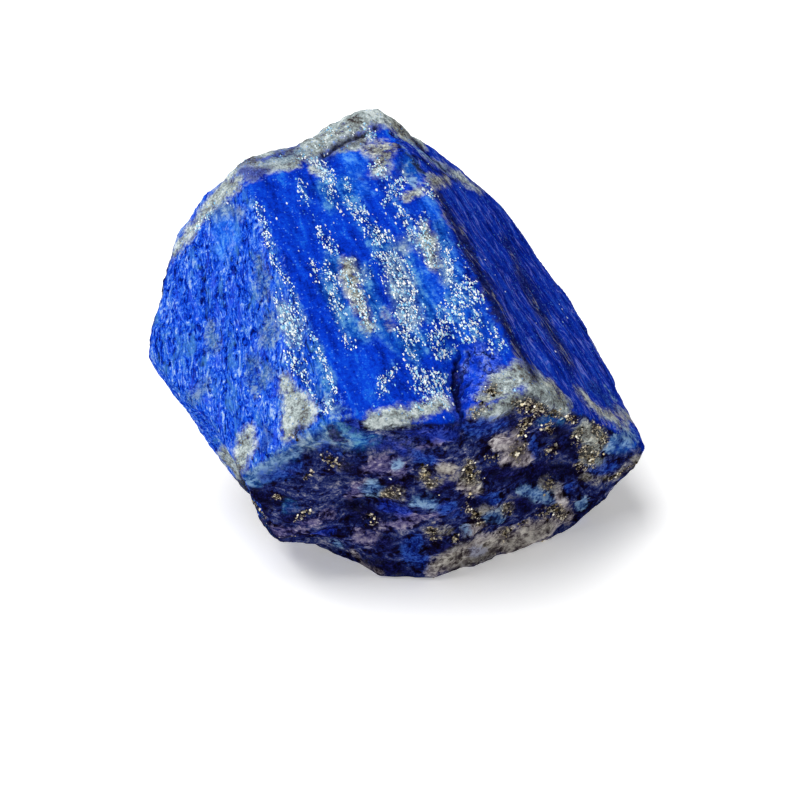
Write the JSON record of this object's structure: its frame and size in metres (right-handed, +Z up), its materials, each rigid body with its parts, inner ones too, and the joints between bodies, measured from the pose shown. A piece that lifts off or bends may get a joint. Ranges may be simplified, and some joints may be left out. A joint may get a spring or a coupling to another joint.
{
  "type": "rough lapis lazuli stone",
  "caption": "Broken lump of rough blue lapis lazuli with flat breaks, a grey matrix cap, a fissure and a ledged dark front, resting on a small flat spot.",
  "frame": {"origin": "on the resting plane, below the middle of the stone's outline as seen from above", "axes": "+Z up from the resting plane, -Y towards the ledged dark front break, +X towards the shaded flank"},
  "size_m": [0.07, 0.0616, 0.0523],
  "materials": {
    "lapis": "rough broken lapis lazuli, deep blue with grey matrix and pyrite"
  },
  "bodies": {
    "root": {"lapis_stone": "lapis"}
  },
  "joints": []
}
